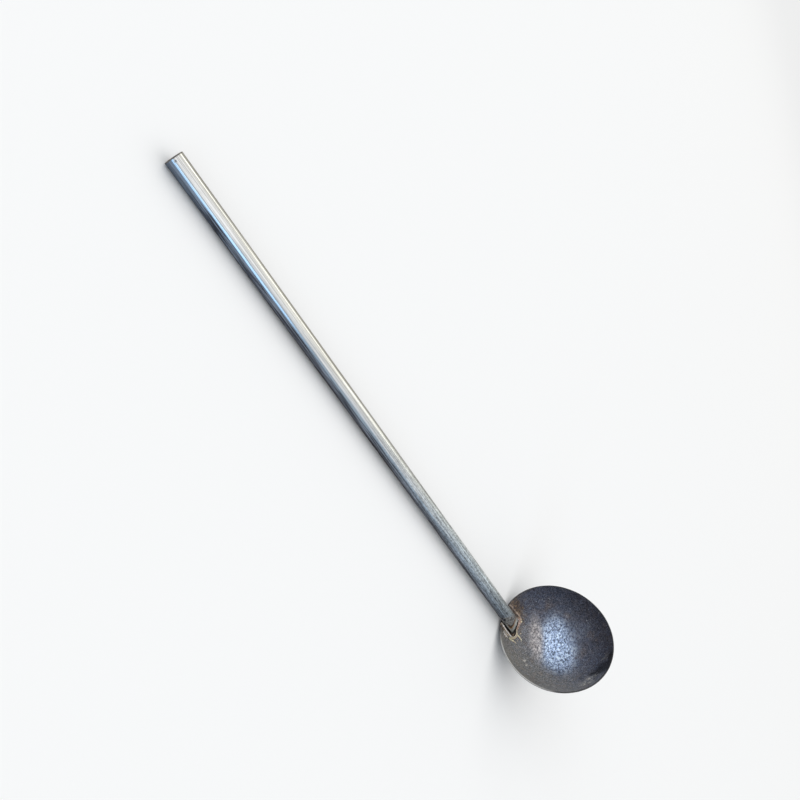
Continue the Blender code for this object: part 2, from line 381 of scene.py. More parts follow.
def rubbed_metal_and_reflection(p, colour, ridge, cloud):
    """Metal bare from rubbing over the bowl's bottom, painted blue-white as a reflection of the sky, and
    pinkish on the handle's side.
    """
    rubbed_and_reflection = p.most(p.spot((-0.0080, -0.0050), (0.040, 0.058), RUB_TURN),
                    p.times(p.spot((0.0005, -0.028), (0.034, 0.045), RUB_TURN), 0.95))
    halo = p.spot((-0.022, -0.022), (0.080, 0.090))
    rubbed_and_reflection = p.add(p.times(rubbed_and_reflection, 1.12), p.times(halo, 0.40), p.wobble(cloud, 0.6))
    # Painted reflection: blue-white colours standing in for the sky seen in the bare metal.
    bright = p.ramp(ridge, [
        (0.40, (0.075, 0.09, 0.13)), (0.47, (0.25, 0.31, 0.44)), (0.53, (0.48, 0.61, 0.88)),
        (0.60, (0.80, 0.91, 1.00)),
    ])
    colour = p.blend(p.range(rubbed_and_reflection, 0.12, 1.10), colour, bright)
    pink = p.times(p.spot((0.0265, -0.012), (0.021, 0.058), RUB_TURN), 1.2)
    pink = p.add(pink, p.wobble(cloud, 0.4))
    tan = p.ramp(ridge, [
        (0.38, (0.13, 0.120, 0.125)), (0.48, (0.36, 0.338, 0.345)), (0.58, (0.92, 0.86, 0.84)),
    ])
    return p.blend(p.times(p.range(pink, 0.15, 1.0), 0.7), colour, tan), rubbed_and_reflection


def shade_and_scuffs(p, colour, grain):
    """Painted shade in wiped streaks on the far wall by the rim, pale scuffs there, two nicks on the handle's
    side, and bright flecks.
    """
    wipe = p.noise(1.0, 5, 0.7, p.scaled((260.0, 90.0, 160.0)), twist=0.5)
    # Painted shade: near-black patches on the far wall by the rim, broken by wiped streaks.
    far_wall_shade = p.most(p.spot((-0.0765, 0.0165), (0.0135, 0.031), radians(41)),
                  p.spot((-0.066, 0.0245), (0.0050, 0.014), radians(62)),
                  p.spot((-0.0830, 0.001), (0.0050, 0.018), radians(5)))
    far_wall_shade = p.range(p.add(far_wall_shade, p.wobble(wipe, 1.1)), 0.08, 0.80)
    far_wall_shade = p.times(far_wall_shade, p.range(grain, 0.45, 0.62, 0.94, 0.55))
    colour = p.blend(far_wall_shade, colour, (0.020, 0.020, 0.022))

    scuff = p.most(p.spot((-0.0575, 0.045), (0.0075, 0.017), radians(60)),
                   p.spot((-0.0640, 0.0335), (0.0070, 0.014), radians(52)),
                   p.times(p.spot((-0.0755, -0.001), (0.0028, 0.009), radians(40)), 0.6))
    scrape = p.noise(300, 5, 0.75, p.shifted((0.1, 0.6, 0.3)), twist=0.8)
    scuff = p.times(scuff, p.range(scrape, 0.48, 0.62, 0.0, 1.2))
    nick = p.most(p.spot((0.036, 0.032), (0.0028, 0.0050), radians(30)),
                  p.spot((0.0315, 0.0385), (0.0020, 0.0042), radians(30)))
    scuff = p.most(scuff, p.times(nick, p.range(wipe, 0.34, 0.56, 0.10, 0.85)))
    colour = p.blend(p.times(p.range(scuff, 0.05, 0.60), 0.8), colour, (0.76, 0.73, 0.66))

    flecks = p.range(p.noise(360, 3, 0.6, p.shifted((0.9, 0.2, 0.4))), 0.67, 0.74)
    return p.blend(p.times(flecks, 0.9), colour, (0.92, 0.93, 0.96))


def weld_heat(p, colour, grain):
    """Brown heat round the handle's seat, and past the left bead a smear, a painted shadow line and a straw
    line.
    """
    x, y, z = p.axes()
    heat = p.most(p.spot((0.072, -0.012), (0.032, 0.036)), p.spot((0.0690, -0.030), (0.030, 0.030)))
    heat = p.add(heat, p.wobble(p.noise(140, 5, 0.72), 1.6))
    tint = p.ramp(p.noise(330, 4, 0.66), [
        (0.38, (0.045, 0.034, 0.028)), (0.5, (0.145, 0.098, 0.066)), (0.60, (0.40, 0.28, 0.17)),
    ])
    colour = p.blend(p.times(p.range(heat, 0.15, 1.0), 0.85), colour, tint)

    u = p.add(p.times(x, cos(TILT)), p.times(z, sin(TILT)), CENTRE_U)
    ahead = p.most(p.minus(-0.038, u), 0.0)
    aside = p.most(p.minus(p.range(u, -0.014, 0.0, -0.0210, -0.0177), y), 0.0)
    away = p.add(p.hypot(ahead, aside), p.wobble(p.noise(320, 4, 0.65), 0.0030))
    this_side = p.range(y, 0.006, -0.003)
    broken = p.range(p.noise(260, 3, 0.6, p.shifted((0.7, 0.7, 0.2))), 0.40, 0.54, 0.10, 1.0)
    smear = p.times(p.range(away, 0.0088, 0.0066), p.range(u, -0.034, -0.042), this_side,
                    p.range(grain, 0.40, 0.54, 0.15, 0.95))
    colour = p.blend(smear, colour, p.blend(broken, (0.60, 0.32, 0.20), (0.78, 0.60, 0.52)))
    # Painted shadow: a dark line on the wall where the tube's side meets it.
    shadow_line = p.times(p.range(away, 0.0044, 0.0058), p.range(away, 0.0078, 0.0068), this_side,
                  p.range(u, -0.044, -0.038, 0.0, 0.6), broken)
    colour = p.blend(shadow_line, colour, (0.030, 0.026, 0.024))
    straw = p.times(p.range(away, 0.0066, 0.0081), p.range(away, 0.0098, 0.0083), this_side, broken, 0.78)
    return p.blend(straw, colour, (0.74, 0.58, 0.46))


def outer_wall(p, grain, blotch, rust):
    """Outside of the bowl: grey scale, faint lines up the wall and round it from pressing, some rust."""
    x, y, z = p.axes()
    polar = p.math("ARCTAN2", p.hypot(x, y), p.times(z, -1.0))
    round_about = p.math("ARCTAN2", y, x)
    drawn = p.noise(1.0, 4, 0.65, p.joined(p.times(round_about, 34.0), p.times(polar, 2.2), 0.7))
    hoops = p.noise(1.0, 3, 0.6, p.joined(p.times(polar, 60.0), p.times(round_about, 0.8), 2.9))
    colour = p.ramp(p.add(p.times(blotch, 0.35), p.times(grain, 0.65)), [
        (0.38, (0.085, 0.088, 0.098)), (0.50, (0.150, 0.153, 0.165)), (0.62, (0.235, 0.233, 0.235)),
    ])
    colour = p.blend(p.times(p.range(drawn, 0.55, 0.68), 0.30), colour, (0.38, 0.38, 0.39))
    colour = p.blend(p.times(p.range(hoops, 0.54, 0.66), 0.25), colour, (0.05, 0.052, 0.06))
    return p.blend(p.times(rust, 0.8), colour, (0.20, 0.135, 0.095))


def bowl_paint():
    """Mill scale with painted light and shade: olive-grey and lighter by the handle, blue-black at the far
    side, bare from rubbing over the bottom with a painted blue-white reflection, painted shade by the far
    rim, and the rim's edge painted lit on one side and dark on the other.
    """
    p = Paint("scaled_steel")
    x, y, _ = p.axes()
    grain = p.noise(580, 5, 0.76)
    fine = p.noise(1500, 3, 0.6)
    ridge = p.noise(350, 5, 0.76, p.scaled((1.0, 0.72, 1.0)), twist=0.2)
    blotch = p.noise(60, 4, 0.6, twist=0.4)
    cloud = p.noise(24, 3, 0.5)
    rust = p.times(p.range(p.noise(38, 4, 0.6, p.shifted((0.3, 0.1, 0.7))), 0.54, 0.70), 0.45)
    # Painted light and shade across the inside: lighter towards the handle's side, where the light falls, and
    # darker at the far side.
    light_slope = p.add(p.times(x, 0.42), p.times(y, 0.70), p.wobble(blotch, 0.05))
    lit_side = p.range(light_slope, -0.020, 0.030)
    outside = p.range(p.length(p.place), INNER_SPHERE + 0.6 * SHEET, INNER_SPHERE + 0.8 * SHEET)

    colour = scale_colour(p, light_slope, lit_side, grain, rust)
    colour, rubbed_and_reflection = rubbed_metal_and_reflection(p, colour, ridge, cloud)
    colour = shade_and_scuffs(p, colour, grain)
    colour = weld_heat(p, colour, grain)
    colour = p.blend(outside, colour, outer_wall(p, grain, blotch, rust))
    # Painted light and shade on the rim's edge: pale on a short arc towards +X and +Y, near-black elsewhere,
    # broken by grain.
    side = p.add(p.times(x, 0.55), p.times(y, 0.83), p.wobble(blotch, 0.03))
    edge = p.blend(p.range(side, 0.052, 0.082), (0.030, 0.030, 0.033), (0.50, 0.49, 0.47))
    rim_painted_light = p.times(p.crest(), p.range(grain, 0.3, 0.6, 0.55, 1.0))
    colour = p.blend(rim_painted_light, colour, edge)

    rough = p.range(p.add(grain, p.times(rubbed_and_reflection, -0.15)), 0.15, 0.8, 0.36, 0.62)
    relief = p.bump(ridge, 0.00045, 0.7)
    relief = p.bump(grain, 0.00040, 0.7, relief)
    relief = p.bump(fine, 0.00006, 0.5, relief)
    metal = p.range(p.minus(lit_side, rubbed_and_reflection), 0.0, 0.8, 0.88, 0.30)
    metal = p.most(metal, p.times(outside, 0.85))
    p.set(Base_Color=colour, Metallic=metal, Roughness=rough, Normal=relief)
    return p.material


def zinc_reflection_bands(p, turn, dull):
    """Colours round the tube by degrees from its top, painted as reflections and shade: a bright highlight
    along the crest, a bluish line and dark slate on the +Y flank, lighter towards -Y; bright towards the free
    end, matt by the bowl.
    """
    around = p.linear(turn, -pi, pi)

    def bands(entries):
        return p.ramp(around, [((degrees + 180) / 360, colour) for degrees, colour in entries])

    # Painted reflections: highlight along the crest near 0 degrees, a bluish line near 50 to 60, dark slate
    # beyond 66.
    polished = bands([
        (-180, (0.12, 0.13, 0.15)), (-82, (0.16, 0.17, 0.19)), (-60, (0.38, 0.37, 0.35)),
        (-34, (0.55, 0.53, 0.49)), (-14, (0.56, 0.55, 0.48)), (-5, (0.72, 0.71, 0.63)),
        (8, (0.71, 0.70, 0.65)), (16, (0.59, 0.59, 0.55)), (30, (0.58, 0.59, 0.59)),
        (44, (0.56, 0.59, 0.63)), (53, (0.45, 0.54, 0.63)), (61, (0.37, 0.47, 0.58)),
        (66, (0.16, 0.20, 0.26)), (74, (0.11, 0.13, 0.16)), (92, (0.13, 0.14, 0.17)),
        (180, (0.12, 0.13, 0.15)),
    ])
    matt = bands([
        (-180, (0.12, 0.13, 0.15)), (-80, (0.26, 0.27, 0.29)), (-50, (0.55, 0.57, 0.58)),
        (-26, (0.63, 0.66, 0.67)), (-12, (0.52, 0.56, 0.57)), (2, (0.44, 0.49, 0.51)),
        (16, (0.38, 0.43, 0.46)), (32, (0.32, 0.37, 0.41)), (52, (0.29, 0.34, 0.39)),
        (70, (0.290, 0.345, 0.405)), (84, (0.205, 0.235, 0.275)), (100, (0.12, 0.13, 0.15)),
        (180, (0.12, 0.13, 0.15)),
    ])
    return p.blend(dull, polished, matt)


def zinc_streaks(p, colour, u, angle, flank, turn, line, dull):
    """Painted reflections by the free end, a pale strip and a cool slate one; dashes along the flanks, and
    seams along the top.
    """
    # Painted reflections near the free end: a pale strip on the upper side and a slate-blue one low on the +Y
    # flank.
    pale_reflection = p.times(p.range(u, 0.55, 0.78), p.range(angle, radians(50), radians(36)),
                    p.range(angle, radians(2), radians(18), 0.0, 0.6))
    colour = p.blend(pale_reflection, colour, (0.84, 0.84, 0.84))
    cool = p.times(p.range(u, 0.56, 0.76), p.range(turn, radians(60), radians(70), 0.0, 0.85))
    colour = p.blend(cool, colour, p.ramp(line, [(0.36, (0.085, 0.105, 0.14)), (0.62, (0.24, 0.31, 0.41))]))

    dash = p.noise(1.0, 3, 0.6, p.joined(p.times(u, 20.0), p.times(angle, 11.0), 0.3))
    dark = p.times(p.range(dash, 0.49, 0.55), p.range(flank, radians(60), radians(68), 0.0, 0.92),
                   p.range(u, 0.80, 0.70, 0.35, 1.0), p.range(dull, 0.0, 1.0, 1.0, 0.5))
    colour = p.blend(dark, colour, (0.022, 0.023, 0.032))
    pale = p.times(p.range(dash, 0.46, 0.38), p.range(flank, radians(62), radians(70), 0.0, 0.55))
    colour = p.blend(pale, colour, (0.27, 0.31, 0.38))

    seam = p.noise(1.0, 3, 0.6, p.joined(p.times(u, 6.0), p.times(angle, 12.0), 4.7))
    top = p.range(flank, radians(58), radians(46))
    colour = p.blend(p.times(p.range(seam, 0.53, 0.62), top, 0.55), colour, (0.27, 0.27, 0.27))
    light = p.blend(dull, (0.88, 0.88, 0.85), (0.52, 0.57, 0.60))
    return p.blend(p.times(p.range(seam, 0.46, 0.38), top, 0.6), colour, light)


def zinc_shade(p, u, angle, spots, thin, mid, dull):
    """Grey that lightens and darkens the zinc: specks, draw lines and patches, strongest where it is matt."""
    specks = p.times(p.range(spots, 0.34, 0.66, -0.42, 0.42), p.add(p.times(dull, 0.85), 0.10))
    lines = p.add(p.range(thin, 0.30, 0.70, -0.28, 0.28), p.range(mid, 0.32, 0.68, -0.20, 0.20))
    lines = p.times(lines, p.range(dull, 0.0, 1.0, 0.60, 1.0))
    patches = p.noise(1.0, 4, 0.62, p.joined(p.times(u, 26.0), p.times(angle, 5.5), 8.1))
    patches = p.times(p.range(patches, 0.34, 0.66, -0.34, 0.34), p.range(dull, 0.0, 1.0, 0.15, 1.0))
    shade = p.add(p.add(specks, lines), p.add(patches, 1.0))
    return p.node("ShaderNodeCombineColor", {0: shade, 1: shade, 2: shade})


def burnt_zinc(p, colour, u, v, rise, flank):
    """Zinc burnt to grey scale by the weld, with nested heat colours round the mitre, painted shadow along
    the bead's edge, painted shade where the tube nears the wall, and weld metal.
    """
    burn = p.add(p.minus(u, p.times(v, 0.9)), p.wobble(p.noise(260, 4, 0.6), 0.012))
    burnt = p.range(burn, 0.0102, 0.0062)
    scale = p.ramp(p.noise(420, 5, 0.68), [
        (0.36, (0.09, 0.087, 0.086)), (0.50, (0.26, 0.255, 0.25)), (0.62, (0.52, 0.51, 0.49)),
    ])

    cut = p.minus(u, p.times(p.add(rise, TUBE_RADIUS), MITRE_SLOPE))
    from_cut = p.times(p.add(cut, SEAT_LENGTH), 0.5)
    from_bead = p.times(p.minus(radians(118), flank), TUBE_RADIUS)
    apart = p.hypot(p.minus(from_bead, from_cut), CORNER_ROUND)
    near = p.times(p.minus(p.add(from_bead, from_cut), apart), 0.5)
    near = p.add(near, p.wobble(p.noise(240, 4, 0.65), 0.0034))
    # The first stops paint a black shadow along the bead's edge.
    isotherms = p.ramp(p.linear(near, 0.0, 0.012), [
        (0.0, (0.02, 0.018, 0.016)), (0.09, (0.03, 0.027, 0.025)), (0.16, (0.74, 0.76, 0.73)),
        (0.32, (0.57, 0.56, 0.53)), (0.38, (0.60, 0.36, 0.18)), (0.44, (0.10, 0.055, 0.035)),
        (0.53, (0.045, 0.040, 0.036)), (0.58, (0.52, 0.50, 0.47)), (0.65, (0.46, 0.45, 0.43)),
        (0.69, (0.035, 0.032, 0.03)), (0.77, (0.035, 0.032, 0.03)), (0.82, (0.60, 0.59, 0.56)),
        (0.90, (0.40, 0.39, 0.38)), (1.0, (0.22, 0.215, 0.21)),
    ])
    isotherms = p.tinted(isotherms, p.ramp(p.noise(620, 5, 0.75), [
        (0.36, (0.50, 0.49, 0.48)), (0.50, (0.95, 0.95, 0.94)), (0.62, (1.25, 1.24, 1.22)),
    ]))
    tempered = p.times(p.range(near, 0.0125, 0.0095), p.range(u, 0.004, -0.006),
                       p.range(v, -0.008, 0.004, 0.35, 0.85))
    colour = p.blend(burnt, colour, p.blend(tempered, scale, isotherms))

    # Painted shade: black where the tube's skin comes close to the bowl's wall.
    reach = p.node("ShaderNodeVectorMath", {0: p.place, 1: (CENTRE_U, 0.0, CENTRE_W)}, "Value",
                   operation="DISTANCE")
    reach = p.add(reach, p.wobble(p.noise(330, 3, 0.6), 0.003))
    crevice_shade = p.times(p.range(reach, INNER_SPHERE - 0.0072, INNER_SPHERE - 0.0060),
                    p.range(u, 0.006, 0.000), 0.96)
    colour = p.blend(crevice_shade, colour, (0.010, 0.009, 0.009))
    lapped_over = p.times(p.range(near, 0.0002, -0.0006), p.range(from_cut, 0.0070, 0.0040),
                          p.range(u, -0.020, -0.026))
    weld = p.ramp(p.noise(520, 4, 0.65), [
        (0.38, (0.50, 0.34, 0.26)), (0.50, (0.95, 0.72, 0.55)), (0.62, (1.0, 0.92, 0.80)),
    ])
    return p.blend(lapped_over, colour, weld), burnt


def shadow_and_reflection_spot(p, colour, u, angle):
    """Painted shadow with a painted bluish reflection: black with blue-white flecks where the right bead
    starts.
    """
    along = p.times(p.minus(u, SHADOW_SPOT_U), 1 / SHADOW_SPOT_LENGTH)
    around = p.times(p.minus(angle, SHADOW_SPOT_TURN), 1 / SHADOW_SPOT_SWEEP)
    spot_shadow = p.add(p.range(p.hypot(along, around), 1.0, 0.0),
                 p.wobble(p.noise(420, 5, 0.75, twist=0.4), 2.0))
    spot_colours = p.ramp(p.noise(620, 4, 0.7, p.shifted((0.4, 0.3, 0.9))), [
        (0.50, (0.008, 0.008, 0.012)), (0.57, (0.10, 0.11, 0.17)), (0.64, (0.80, 0.79, 0.76)),
    ])
    return p.blend(p.times(p.range(spot_shadow, 0.25, 0.70), 0.94), colour, spot_colours)


def zinc_paint():
    """Zinc on a drawn tube: painted reflections with slate flanks and a bright highlight along the crest,
    lengthwise streaks, and burnt off by the weld.
    """
    p = Paint("zinc_coat")
    u, v, w = p.axes()
    rise = p.minus(w, AXIS_W)
    line = p.noise(1.0, 4, 0.6, p.scaled((1.6, 430.0, 430.0)))
    thin = p.noise(1.0, 3, 0.6, p.scaled((8.0, 1250.0, 1250.0)))
    mid = p.noise(1.0, 3, 0.6, p.scaled((5.0, 640.0, 640.0)))
    broad = p.noise(1.0, 3, 0.5, p.scaled((5.0, 130.0, 130.0)))
    spots = p.noise(470, 4, 0.75, p.scaled((0.50, 1.0, 1.0)))
    dull = p.range(p.add(u, p.wobble(broad, 0.10)), 0.52, 0.13)
    angle = p.math("ARCTAN2", v, rise)
    flank = p.node("ShaderNodeMath", {0: angle}, operation="ABSOLUTE")
    turn = p.add(angle, p.wobble(line, 0.34), p.wobble(mid, 0.40), p.wobble(broad, 0.25))

    colour = zinc_reflection_bands(p, turn, dull)
    colour = zinc_streaks(p, colour, u, angle, flank, turn, line, dull)
    colour = p.tinted(colour, zinc_shade(p, u, angle, spots, thin, mid, dull))
    saw = p.range(u, FREE_END_U - 0.0009, FREE_END_U - 0.0004)
    colour = p.blend(p.times(saw, 0.9), colour, (0.13, 0.115, 0.10))
    pit = p.crest()
    colour = p.blend(pit, colour, (0.030, 0.030, 0.040))
    colour, burnt = burnt_zinc(p, colour, u, v, rise, flank)
    colour = shadow_and_reflection_spot(p, colour, u, angle)

    rough = p.add(p.range(dull, 0.0, 1.0, 0.13, 0.46), p.wobble(line, 0.16), p.times(burnt, 0.20))
    relief = p.bump(line, 0.00006, 0.4)
    relief = p.bump(spots, 0.00006, 0.4, relief)
    relief = p.bump(thin, 0.00003, 0.4, relief)
    p.set(Base_Color=colour, Metallic=0.95, Roughness=rough, Normal=relief,
          Specular_Tint=(0.42, 0.38, 0.33, 1.0))
    return p.material


def weld_paint(name, crest, middle, tint, metal):
    """Raw weld metal: crests brightened by a wire brush and painted light as highlights, black painted shade
    in the undercut and ripple roots, straw and brown heat colours.
    """
    p = Paint(name)
    patch = p.noise(420, 4, 0.62)
    heat = p.noise(190, 3, 0.6, p.shifted((0.2, 0.5, 0.1)), twist=0.6)
    fine = p.noise(1800, 4, 0.65)
    level = p.add(p.crest(), p.wobble(patch, 0.55))
    brushed_and_highlight = tuple(min(1.0, 1.2 * c) for c in crest)
    # Low marks get painted shade, high marks a painted highlight.
    colour = p.ramp(level, [(0.14, (0.012, 0.010, 0.009)), (0.34, middle), (0.58, crest), (0.85, brushed_and_highlight)])
    hot = p.times(p.range(heat, 0.47, 0.62), p.range(level, 0.2, 0.4, 0.0, 0.75))
    colour = p.blend(hot, colour, tint)
    colour = p.blend(p.times(p.range(fine, 0.58, 0.40), 0.30), colour, (0.05, 0.04, 0.035))
    rough = p.range(p.add(patch, p.times(level, -0.3)), 0.0, 0.7, 0.22, 0.56)
    relief = p.bump(patch, 0.00025, 0.6)
    relief = p.bump(fine, 0.00008, 0.5, relief)
    p.set(Base_Color=colour, Metallic=metal, Roughness=rough, Normal=relief)
    return p.material


def make_bowl(material):
    """Dished shell with slight planishing waves and a hand-dressed rim."""
    inner_end = asin((INNER_RIM - INNER_EDGE) / INNER_SPHERE)
    outer_end = asin((RIM_RADIUS - OUTER_INSET) / OUTER_SPHERE) - OUTER_EDGE / OUTER_SPHERE
    turns = full_turn(BOWL_STEPS)
    skin = Skin()

    def wall(radius, angle):
        """Ring of the shell, calmer where the handle is seated."""
        points = []
        for turn in turns:
            d = (sin(angle) * cos(turn), sin(angle) * sin(turn), -cos(angle))
            seat = smooth(0.45, 0.75, d[0]) * smooth(0.45, 0.2, abs(d[1]))
            wave = BROAD_DENT * lumps(*(10.08 * c for c in d)) + SMALL_DENT * lumps(*(43.2 * c for c in d), 2)
            r = radius + wave * (1 - 0.8 * seat)
            points.append((d[0] * r, d[1] * r, d[2] * r))
        return skin.row(points)

    def rim(radius, drop, rim_edge_mark):
        """Ring of the rim's land, drop below its top, hand-dressed least by the handle."""
        points = []
        for turn in turns:
            x, y = cos(turn), sin(turn)
            hand = RIM_WAVE * lumps(5 * x, 5 * y, 0.3) + RIM_NICK * lumps(28 * x, 28 * y, 1.7 - 900 * drop, 2)
            hand *= 1 - 0.7 * smooth(0.8, 0.95, x)
            r = radius + 0.6 * hand
            points.append((r * x, r * y, hand - drop - CENTRE_RISE))
        # The rim's marks tell the bowl's paint where to lay the rim edge's painted light and shade.
        return skin.row(points, [rim_edge_mark] * BOWL_STEPS)

    rings = [wall(INNER_SPHERE, inner_end * i / INNER_RINGS) for i in range(1, INNER_RINGS + 1)]
    rings += [rim(INNER_RIM - 0.00005, 0.00036, 0.5), rim(INNER_RIM + 0.0002, 0.00010, 0.9),
              rim(INNER_RIM + 0.0006, 0.0, 1.0), rim(RIM_RADIUS - 0.0008, 0.0, 1.0),
              rim(RIM_RADIUS - 0.00035, 0.00008, 0.9), rim(RIM_RADIUS - 0.0001, 0.00030, 0.5)]
    rings += [wall(OUTER_SPHERE, outer_end * (1 - i / OUTER_RINGS)) for i in range(OUTER_RINGS)]
    skin.strips(rings)
    inner_tip = skin.row([(0, 0, -INNER_SPHERE)])[0]
    outer_tip = skin.row([(0, 0, -OUTER_SPHERE)])[0]
    skin.fan(rings[0], inner_tip)
    skin.fan(rings[-1], outer_tip)
    piece = skin.build("bowl_shell", BOWL, material, 75)
    stand_for(piece, "bowl")


def make_tube(material):
    """Drawn tube: faint waves and draw lines, a broken free end, a mitre with melted edges, an open bore."""
    skin = Skin()

    def ring(radius, place, depth):
        """place runs from 0 at the mitre to 1 at the free end, depth pulls back from either."""
        points, marks = [], []
        for turn in full_turn(TUBE_STEPS):
            start = mitre_u(AXIS_W - radius * cos(turn)) + (depth if place < 0.5 else 0)
            end = FREE_END_U - (depth if place > 0.5 else 0)
            u = start + (end - start) * place
            r, pit = radius, 0.0
            if radius > BORE_RADIUS:
                r += TUBE_WAVE * lumps(6 * u, 2 * sin(turn), 2 * cos(turn))
                r += DRAW_LINE * lumps(2 * u, 9 * sin(turn), 9 * cos(turn))
                away = hypot(u - PIT_U, TUBE_RADIUS * (turn - PIT_TURN)) / PIT_REACH
                pit = exp(-(away**2))
                r -= PIT_DEPTH * pit
            points.append((u, r * sin(turn), AXIS_W - r * cos(turn)))
            marks.append(pit)
        return skin.row(points, marks)

    # Edges as (inset from the skin or bore, depth), in order from the mitre to the free end and back inside.
    melted_edge = [(0.0005, 0.0), (0.00022, 0.00007), (0.00006, 0.00030), (0.0, 0.0007)]
    filed_edge = [(0.0, 0.0004), (0.00008, 0.00014), (0.0003, 0.00002), (0.0008, 0.0)]
    bore_edge = [(0.0006, 0.0), (0.0002, 0.00004), (0.0, 0.0003)]
    mouth_edge = [(0.0, 0.0003), (0.0003, 0.0)]
    rings = [ring(TUBE_RADIUS - inset, 0.0, depth) for inset, depth in melted_edge]
    for i in range(1, TUBE_ROWS - 1):
        rings.append(ring(TUBE_RADIUS, (i / TUBE_ROWS) ** 1.15 * 0.9985 + 0.0005, 0.0))
    rings += [ring(TUBE_RADIUS, 1.0, PIT_ROW * i) for i in range(PIT_ROWS, 1, -1)]
    rings += [ring(TUBE_RADIUS - inset, 1.0, depth) for inset, depth in filed_edge]
    rings += [ring(BORE_RADIUS + inset, 1.0, depth) for inset, depth in bore_edge]
    rings += [ring(BORE_RADIUS, 1 - i / BORE_ROWS * 0.9990, 0.0) for i in range(1, BORE_ROWS + 1)]
    rings += [ring(BORE_RADIUS + inset, 0.0, depth) for inset, depth in mouth_edge]
    skin.strips(rings + rings[:1])
    piece = skin.build("handle_tube_zinc", SEAT, material, 50)
    stand_for(piece, "handle_tube")


def lay_threads(skin, threads):
    """Thin, lumpy, tapering threads of weld metal over the wall, slightly bent."""
    last, sides = 18, 8
    for start, end, bow, width, height in threads:
        path = []
        for k in range(last + 1):
            t = k / last
            path.append((start[0] + (end[0] - start[0]) * t,
                         start[1] + (end[1] - start[1]) * t + bow * sin(2 * pi * t)))
        rows = []
        for k, (u, v) in enumerate(path):
            ahead, behind = path[min(k + 1, last)], path[max(k - 1, 0)]
            along = Vector((ahead[0] - behind[0], ahead[1] - behind[1])).normalized()
            taper = (1.05 - 0.55 * (k / last) ** 3) * (0.85 + 0.45 * lumps(420 * u, 420 * v, 0.9))
            points, marks = [], []
            for i in range(sides + 1):
                across, up = cos(pi * i / sides) * width * taper, sin(pi * i / sides)
                pu, pv = u - along[1] * across, v + along[0] * across
                points.append((pu, pv, floor_w(pu, pv) + up * height * taper))
                # Marks rise to the thread's top, where the weld paint lays a painted highlight.
                marks.append(0.50 + 0.50 * up)
            rows.append(skin.row(points, marks))
        skin.sleeve(rows)


def lay_drops(skin, drops):
    """Spatter: low round beads of metal stuck on the wall."""
    levels, sides, flatness = 5, 12, 0.75
    for u, v, radius in drops:
        rings = []
        for i in range(levels):
            lean = pi / 2 * i / levels
            ring = []
            for turn in full_turn(sides):
                pu, pv = u + radius * cos(lean) * cos(turn), v + radius * cos(lean) * sin(turn)
                ring.append((pu, pv, floor_w(pu, pv) + flatness * radius * sin(lean)))
            # Marks rise to the drop's top, where the weld paint lays a painted highlight.
            rings.append(skin.row(ring, [0.42 + 0.12 * i] * sides))
        tip = skin.row([(u, v, floor_w(u, v) + flatness * radius)], [0.9])[0]
        skin.strips(rings)
        skin.fan(rings[-1], tip)
        skin.close(rings[0])


def on_tube(angle):
    """Place (v, w) just clear of the tube, at an angle up from its lowest line."""
    return CLEAR_RADIUS * sin(angle), AXIS_W - CLEAR_RADIUS * cos(angle)


def root_angle(u):
    """Angle at which the corner between tube and wall gets wide enough for weld metal."""
    low, high = 0.0, pi / 2
    for _ in range(30):
        middle = (low + high) / 2
        v, w = on_tube(middle)
        low, high = (middle, high) if w - floor_w(u, v) < BEAD_ROOT else (low, middle)
    return max(high, ROOT_TURN)


def side_section(side, u, run, size):
    """Loop of (u, v, w) and height marks: up the tube, down over the crown, back along the wall."""
    crown_steps, back_steps = 26, 6
    root = root_angle(u)
    rise = min(BEAD_RISE * size, mitre_w(u) - CUT_MARGIN, 0.9 * AXIS_W)
    top = max(acos((AXIS_W - rise) / CLEAR_RADIUS), root + ROOT_TURN)
    ragged = 1 + 0.22 * lumps(240 * u, 7.7 * side, 2.4, 2)
    toe_v = CLEAR_RADIUS + (BEAD_TOE_V - CLEAR_RADIUS) * size * ragged
    loop = [on_tube(root + (top - root) * i / back_steps) for i in range(back_steps + 1)]
    marks = [0.0] * len(loop)
    root_v = loop[0][0]
    peak_v, peak_w = loop[-1]
    fall, out = peak_w - floor_w(u, toe_v), toe_v - peak_v
    span = hypot(fall, out)
    low_half = smooth(CLEFT_FROM_U, CLEFT_FULL_U, u)
    drift = RIPPLE_DRIFT * lumps(170 * u, 2.2, side, 2)
    for i in range(1, crown_steps):
        share = i / crown_steps
        arch = sin(pi * share**1.25) ** 0.7
        scale = lapped((run + RIPPLE_LAG * sin(pi * share) + drift) / RIPPLE_PITCH)
        rough = lumps(700 * u, 260 * share * span, 1.3 * side)
        swell = SIDE_CROWN * size + RIPPLE_HEIGHT * scale + SIDE_ROUGH * rough
        swell = arch * (swell - CLEFT_DEPTH * low_half * band(share, 0.58, 0.63))
        loop.append((peak_v + out * share + fall / span * swell, peak_w - fall * share + out / span * swell))
        # Marks for the weld paint: painted highlight on two bands over the crown, painted shade by the tube,
        # in the cleft and at ripple roots.
        if side > 0:
            mark = band(share, 0.27, 0.55) + band(share, 0.68, 0.95) * (0.35 + 0.75 * low_half)
        else:
            mark = 0.95 * band(share, 0.28, 0.52) + 0.6 * band(share, 0.60, 0.96)
        marks.append(clamp(mark * (0.66 + 0.46 * scale) + 0.14 * rough))
    for i in range(back_steps + 1):
        v = toe_v + (root_v - toe_v) * i / back_steps
        loop.append((v, floor_w(u, v)))
        marks.append(0.1)
    return [(u, side * v, w) for v, w in loop], marks


